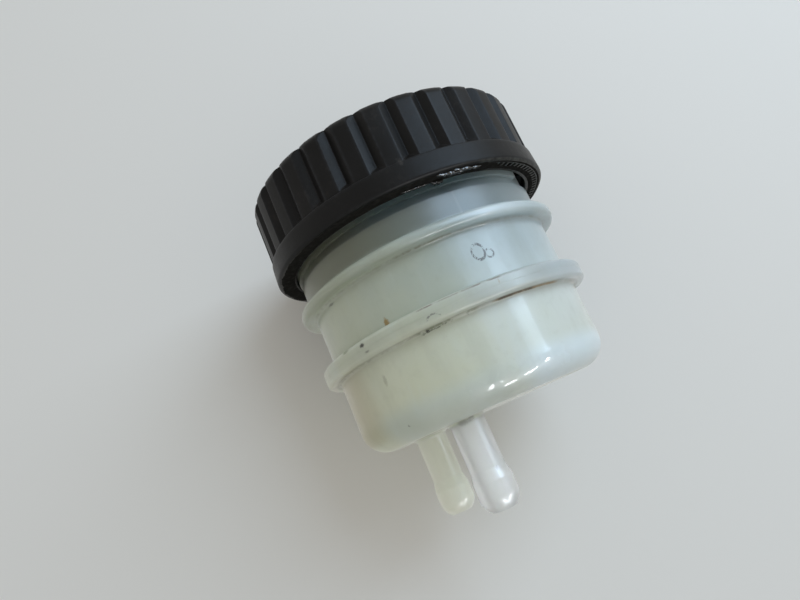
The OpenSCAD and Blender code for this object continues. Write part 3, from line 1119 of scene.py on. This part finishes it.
        rib = hill(np.abs(s) - self.groove_half_w - 0.1, rib_w)[:, None]
        rib = rib * (grip & (row_z < self.top_z - 0.5))
        lip = hill(z - self.band_z + 0.12, lip_w) * outside * 0.7
        brim = hill(z - self.rim_z - 0.35, brim_w) * outside * 0.6
        return turned(r, z, angles), np.clip(rib + lip + brim, 0, 1)

    def shell(self) -> bpy.types.Object:
        """The cap's closed surface.

        Returns:
            The cap with its wear attribute.
        """
        points, wear = self.form()
        made = Surface("ribbed_cap")
        index = made.add_grid(points, wrap_rows=True, wrap_cols=False)
        made.add_fan(index[:, 0], (0, 0, self.ceiling_z), flip=False)
        made.add_fan(index[:, -1], (0, 0, self.top_z), flip=True)
        return made.build(sharp_deg=40, marks={"wear": wear})

    def thread(self) -> bpy.types.Object:
        """The inner thread: flat-topped ridges carried along arcs of a helix.

        The height grows by the lead with each turn, and each arc has its own start angle.

        Returns:
            All the ridges as one object.
        """
        made = Surface("cap_thread")
        root, foot = self.sleeve_r + self.thread_sink, self.thread_foot
        crest, tip, e = self.minor_r, self.thread_tip, self.thread_edge
        r, z = rounded([(root, -foot, 0), (crest, -tip, e), (crest, tip, e), (root, foot, 0)]).T
        swing = np.radians(np.linspace(-self.thread_arc / 2, self.thread_arc / 2, 60))
        for i in range(1, self.thread_pieces + 1):
            rise = self.thread_z + i * self.thread_lead / 4 + self.thread_lead * swing / (2 * math.pi)
            made.add_bar(turned(r, z + rise[:, None], swing + math.radians(90 * i)))
        return made.build(sharp_deg=40)

    def grime(self) -> bpy.types.Object:
        """Dry grime that fills the pockets: flat lenses whose width and depth wander along the rim.

        The section is an ellipse in (r, z). Its middle, width and depth are sums of sines of the
        angle, and both fade to nothing at its two ends.

        Returns:
            All the strips as one object.
        """
        made = Surface("rim_grime")
        turn = full_turn(self.section_points)[None, :]
        for start_deg, end_deg, middle, half_w in self.strips:
            angle = np.radians(np.arange(start_deg, end_deg, self.grime_step_deg))[:, None]
            along = (angle - angle.min()) / np.ptp(angle)
            fade = np.sqrt(np.clip(np.minimum(along, 1 - along) / 0.05, 0, 1))
            wander = np.sin(angle * 23) + 0.6 * np.sin(angle * 57 + 1) + 0.4 * np.sin(angle * 131 + 2)
            wave = wander * half_w * 0.035
            r = middle + wave + fade * (half_w + wave) * np.cos(turn)
            depth = fade * (self.grime_t + 0.012 * wander) + 0.01
            z = self.rim_z + 0.02 - depth * np.sin(turn) * np.where(np.sin(turn) > 0, 1, 0.25)
            made.add_bar(turned(r, z, angle))
        return made.build(sharp_deg=60)

    def wet_beads(self) -> bpy.types.Object:
        """Wet fluid that hangs under the rim: lumpy beads along short paths across the rim's face.

        A bead's section is a squared ellipse that bulges towards its lower end. Its radius on the rim
        runs evenly from start to end, and its width and depth are a half circle along the path times
        one plus a sum of sines.

        Returns:
            All the beads as one object.
        """
        made = Surface("wet_beads")
        turn = full_turn(self.section_points)[None, :]
        across, down = squared(np.cos(turn)), 0.35 + squared(np.sin(turn))
        t = np.linspace(0.004, 0.996, 90)[:, None]
        for start_deg, end_deg, start_r, end_r, width, depth in self.beads:
            angle = np.radians(start_deg + (end_deg - start_deg) * t)
            lump = 1 + 0.13 * np.sin(t * 19 + start_deg) + 0.09 * np.sin(t * 37 + end_deg)
            swell = np.sqrt(1 - (2 * t - 1) ** 2) * lump
            middle = start_r + (end_r - start_r) * t + 0.08 * np.sin(t * 17)
            fall = depth * swell * down
            r = middle + width * swell * across + 0.14 * fall * np.sign(np.cos(turn))
            z = self.rim_z - self.bead_gap - fall
            made.add_bar(turned(r, z, angle))
        return made.build(sharp_deg=70)

    def build(self) -> None:
        """Makes the cap, its thread and the fluid on its rim."""
        black = BlackPlastic().make()
        dress(self.shell(), black, Body.CAP, "screw_cap")
        dress(self.thread(), black, Body.CAP)
        dress(self.grime(), Grime("dry_grime").make(), Body.CAP)
        dress(self.wet_beads(), Grime("wet_grime", rough=0.07, gloss=0.8).make(), Body.CAP)


@dataclass
class SealStack:
    """The slip ring and the rubber diaphragm, both turned from rounded profiles."""

    out_r: float = 24.4
    ring_z: float = 28.95
    ring_t: float = 1.0
    ring_w: float = 3.4
    ring_edge: float = 0.2
    rim_z: float = 27.35
    depth: float = 8.4
    side_r: float = 21.7
    trough_w: float = 3.3
    fold_w: float = 6.4
    lean: float = 2.3
    fold_h: float = 5.4
    skin: float = 1.0
    columns: int = 180

    def washer(self) -> bpy.types.Object:
        """The slip ring: a flat ring with broken edges.

        Returns:
            The ring.
        """
        low, high, e = self.ring_z, self.ring_z + self.ring_t, self.ring_edge
        inner, outer = self.out_r - self.ring_w, self.out_r
        profile = rounded([(inner, low, e), (outer, low, e), (outer, high, e), (inner, high, e)])
        made = Surface("slip_washer")
        points = turned(*profile.T, full_turn(self.columns))
        made.add_grid(points, wrap_rows=True, wrap_cols=True)
        return made.build(sharp_deg=50)

    def bellows(self) -> bpy.types.Object:
        """The diaphragm: a rim bead, a hanging wall, a trough, one round fold and a flat middle.

        The profile runs along its underside from the axis to the rim and back along its top, and is
        carried round the axis.

        Returns:
            The diaphragm.
        """
        t, low, side, rim = self.skin, self.rim_z - self.depth, self.side_r, self.rim_z
        outer, top = side - self.trough_w, low + self.fold_h
        inner, lean, high = outer - self.fold_w, self.lean, self.ring_z
        underside = [
            (0.0, low, 0), (inner, low, 0.9), (inner + 0.6 * lean, low + t, 0.4),
            (inner + lean, top - t, 0.5), (outer - lean, top - t, 0.5),
            (outer - 0.6 * lean, low + t, 0.4), (outer, low, 0.9), (side - t, low, 0.8),
            (side - 0.2 * t, low + 0.8 * t, 0.5), (side, rim, 0.25), (self.out_r, rim, 0.3),
        ]
        upside = [
            (self.out_r, high, 0.3), (side - 1.6 * t, high, 0.5), (side - 1.55 * t, rim - 0.3, 0.3),
            (side - 1.3 * t, low + 1.4 * t, 0.6), (outer + 0.3 * t, low + t, 0.4),
            (outer - 0.3 * t, low + 1.4 * t, 0.4), (outer - lean + t, top, 0.8),
            (inner + lean - t, top, 0.8), (inner + 0.4 * t, low + 1.5 * t, 0.4),
            (inner - 0.4 * t, low + t, 0.6), (0.0, low + t, 0),
        ]
        profile = rounded(underside + upside)[1:-1]
        made = Surface("rubber_diaphragm")
        points = turned(*profile.T, full_turn(self.columns))
        index = made.add_grid(points, wrap_rows=True, wrap_cols=False)
        made.add_fan(index[:, 0], (0, 0, low), flip=False)
        made.add_fan(index[:, -1], (0, 0, low + t), flip=True)
        return made.build(sharp_deg=50)

    def build(self) -> None:
        """Makes both pieces."""
        dress(self.washer(), SlipPlastic().make(), Body.SEAL_STACK, "slip_ring")
        dress(self.bellows(), MouldedRubber().make(), Body.SEAL_STACK, "diaphragm")


@dataclass
class Shells:
    """The two moulded shells, which keep their CAD solids, and the skin of the weld between them."""

    nodes: tuple[str, str] = ("upper_shell", "lower_shell")
    skin_t: float = 0.04
    flange_r: float = 28.19
    foot_r: float = 26.3
    edge_r: float = 0.75
    seam_z: float = -6.9
    seam_t: float = 0.035
    lump_t: float = 0.02
    lump_from_r: float = 27.2
    lump_over: float = 0.9
    weld_cool: Colour = (0.42, 0.48, 0.495)
    weld_pale: Colour = (0.62, 0.67, 0.655)

    def weld_skin(self) -> bpy.types.Object:
        """The smeared skin of the weld flange, which leaves a fine line at the joint of the two shells.

        A rounded section with a small V at the joint is carried round the axis. Its outer half stands
        out by a sum of sines of the angle, so that the pressed weld looks uneven.

        Returns:
            The skin.
        """
        low, high = WELD_LOW - self.skin_t, WELD_TOP + self.skin_t
        face, seam, v = self.flange_r, self.seam_z, self.seam_t
        r, z = rounded([
            (self.foot_r, low, 0), (face, low, self.edge_r), (face, seam - 1.5 * v, v),
            (face - v, seam, 0.3 * v), (face, seam + 1.5 * v, v),
            (face, high, self.edge_r), (self.foot_r, high, 0),
        ], 9).T
        angle = full_turn(540)
        lump = 0.5 * np.sin(angle * 17) + 0.4 * np.sin(angle * 41 + 1) + 0.3 * np.sin(angle * 97 + 2)
        outer = np.clip((r - self.lump_from_r) / self.lump_over, 0, 1)
        r = r + self.lump_t * (0.5 + lump[:, None]) * outer
        made = Surface("weld_skin")
        made.add_grid(turned(r, z, angle), wrap_rows=True, wrap_cols=True)
        return made.build(sharp_deg=50)

    def build(self) -> None:
        """Gives both shells the milky finish and adds the skin."""
        milky = MilkyPlastic().make()
        for name in self.nodes:
            slots = frame["nodes"][name].data.materials
            slots.clear()
            slots.append(milky)
            LOG.info("%s: dressed", name)
        weld = MilkyPlastic("weld_plastic", cool=self.weld_cool, pale=self.weld_pale).make()
        dress(self.weld_skin(), weld, Body.RESERVOIR)


@dataclass(frozen=True)
class Lamp:
    """A soft window: an area lamp that faces the object from one direction. Its sizes are in metres."""

    name: str
    towards: Point
    distance: float
    width: float
    height: float
    watts: float
    colour: Colour
    up: Point = (0.0, 0.0, 1.0)
    gloss_only: bool = True

    def build(self, aim: Vector) -> None:
        """Makes the lamp.

        Args:
            aim: the point that it faces, in metres.
        """
        data = bpy.data.lights.new(self.name, "AREA")
        data.shape, data.size, data.size_y = "RECTANGLE", self.width, self.height
        data.energy, data.color = self.watts, self.colour
        lamp = bpy.data.objects.new(self.name, data)
        lamp.visible_diffuse = not self.gloss_only
        back = Vector(self.towards).normalized()
        side = Vector(self.up).cross(back).normalized()
        turn = Matrix((side, back.cross(side), back)).transposed()
        lamp.matrix_world = Matrix.Translation(aim + back * self.distance) @ turn.to_4x4()
        bpy.context.scene.collection.objects.link(lamp)


@dataclass
class Studio:
    """Camera, floor, lamps and world. The object lies on its side on the floor.

    The view is the cap rim's place, the cap axis and a direction across it as the camera has them,
    with x to the right, y down and z ahead; the spin turns the object about its axis from there. The
    floor touches the cap's rim and the weld flange at one bearing, each given by radius and height.
    """

    lens: float = 28.0
    sensor: float = 36.0
    view_rim: Point = (2.731, -12.871, 133.996)
    view_axis: Point = (-0.39173, -0.89239, 0.22400)
    view_near: Point = (-0.14459, -0.18072, -0.97283)
    view_spin_deg: float = 23.1
    aim: Point = (0.02, 0.0, -0.008)
    pale: Colour = (0.76, 0.75, 0.73)
    ambient: Colour = (0.54, 0.53, 0.50)
    floor_size: float = 0.8
    floor_points: int = 41
    floor_deg: float = 167.5
    rest_rim: tuple[float, float] = (30.13, 15.35)
    rest_weld: tuple[float, float] = (28.24, -8.0)
    floor_open: float = 0.5
    lamps: tuple[Lamp, ...] = (
        Lamp("broad_window", (0.778, 0.449, 0.438), 0.50, 0.50, 0.30, 1.60, (0.68, 0.84, 1.0),
             gloss_only=False),
        Lamp("high_window", (0.810, 0.375, 0.450), 0.45, 0.30, 0.12, 0.40, (0.45, 0.70, 1.0)),
        Lamp("window", (0.770, 0.634, 0.078), 0.45, 0.095, 0.18, 0.42, (0.60, 0.80, 1.0),
             (0.115, -0.244, 0.963)),
        Lamp("low_window", (0.556, 0.399, -0.730), 0.42, 0.03, 0.36, 1.1, (0.95, 0.98, 1.0),
             (0.23, 0.67, 0.54)),
        Lamp("low_pane", (0.650, -0.085, -0.755), 0.42, 0.06, 0.11, 0.5, (0.95, 0.98, 1.0),
             (0.75, 0.0, 0.66)),
    )

    def camera(self) -> None:
        """Makes the camera at the fitted place, with the fitted turn about the cap's axis."""
        axis, near = np.array(self.view_axis), np.array(self.view_near)
        side = np.cross(axis, near)
        spin = math.radians(self.view_spin_deg)
        x_axis = math.cos(spin) * near + math.sin(spin) * side
        y_axis = -math.sin(spin) * near + math.cos(spin) * side
        turn = np.stack([x_axis, y_axis, axis], 1)
        world = np.eye(4)
        world[:3, :3] = turn.T @ np.diag([1.0, -1.0, -1.0])
        world[:3, 3] = (turn.T @ -np.array(self.view_rim) + np.array([0, 0, RIM_Z])) * MM
        data = bpy.data.cameras.new("photo_camera")
        data.lens, data.sensor_width, data.sensor_fit = self.lens, self.sensor, "HORIZONTAL"
        data.clip_start, data.clip_end = 0.001, 20.0
        camera = bpy.data.objects.new("photo_camera", data)
        camera.matrix_world = Matrix(world.tolist())
        bpy.context.scene.collection.objects.link(camera)
        bpy.context.scene.camera = camera

    def floor(self) -> None:
        """Makes the floor: a plane that touches the cap's rim and the weld flange on one side.

        Its normal leans off the radius by the fall in radius over the rise in height between the two
        touching points. It is seen from its front only, and its edge fades out.
        """
        bearing = math.radians(self.floor_deg)
        radial = Vector((math.cos(bearing), math.sin(bearing), 0))
        (rim_r, rim_z), (weld_r, weld_z) = self.rest_rim, self.rest_weld
        lean = (rim_r - weld_r) / (rim_z - weld_z)
        up = (Vector((0, 0, lean)) - radial).normalized()
        centre = (rim_r * radial + Vector((0, 0, rim_z))) * MM
        across = Vector((0, 0, 1)).cross(up).normalized()
        along = up.cross(across)
        count, reach = self.floor_points, self.floor_size / 2
        line = np.linspace(-reach, reach, count)
        s, t = np.meshgrid(line, line, indexing="ij")
        points = np.array(centre) + s[..., None] * np.array(across) + t[..., None] * np.array(along)
        index = np.arange(count * count).reshape(count, count)
        quads = np.stack([index[:-1, :-1], index[1:, :-1], index[1:, 1:], index[:-1, 1:]], -1)
        mesh = bpy.data.meshes.new("floor")
        mesh.from_pydata(points.reshape(-1, 3).tolist(), [], quads.reshape(-1, 4).tolist())
        plane = bpy.data.objects.new("floor", mesh)
        bpy.context.scene.collection.objects.link(plane)
        plane.data.materials.append(self.floor_paint(centre, reach))

    def floor_paint(self, centre: Vector, reach: float) -> bpy.types.Material:
        """A pale matt floor that shows the shadow, lights the object softly and is clear from behind.

        Args:
            centre: the plane's middle in metres.
            reach: half of its side in metres.

        Returns:
            The floor's material.
        """
        p = Paint("pale_floor")
        middle = {0: p.place, 1: tuple(centre)}
        offset = p.node("VectorMath", {"operation": "DISTANCE"}, middle, output="Value")
        rim = offset.ease(reach * 0.45, reach * 0.98)
        behind = p.node("NewGeometry", output="Backfacing")
        seen = p.node("LightPath", output="Is Camera Ray")
        matt = p.node("BsdfDiffuse", {}, {"Color": (*self.pale, 1.0)})
        gone = rim.upper_of(behind).upper_of((1.0 - seen) * self.floor_open)
        return p.finish(p.blend(gone, matt, p.node("BsdfTransparent")))

    def world(self) -> None:
        """Sets the world: pale to the camera and in reflections, a plain dim light to all else."""
        world = bpy.data.worlds.new("studio")
        bpy.context.scene.world = world
        world.use_nodes = True
        painted_neck_light = Graph(world.node_tree)
        path = painted_neck_light.node("LightPath", output="Is Camera Ray")
        seen = path.upper_of(path.out("Is Glossy Ray")).upper_of(path.out("Is Transmission Ray"))
        light = painted_neck_light.node("Background", {}, {"Color": (*self.ambient, 1.0)})
        shown = painted_neck_light.node("Background", {}, {"Color": (*self.pale, 1.0)})
        painted_neck_light.show("OutputWorld", painted_neck_light.node("MixShader", {}, {0: seen, 1: light, 2: shown}))

    def build(self) -> None:
        """Makes the whole studio."""
        bpy.context.scene.view_settings.view_transform = "Standard"
        self.camera()
        self.floor()
        self.world()
        for lamp in self.lamps:
            lamp.build(Vector(self.aim))


def main() -> None:
    """Builds the object in order, then the studio."""
    logging.basicConfig(level=logging.INFO, format="%(name)s: %(message)s")
    Shells().build()
    SealStack().build()
    ScrewCap().build()
    Studio().build()


if __name__ == "__main__":
    main()
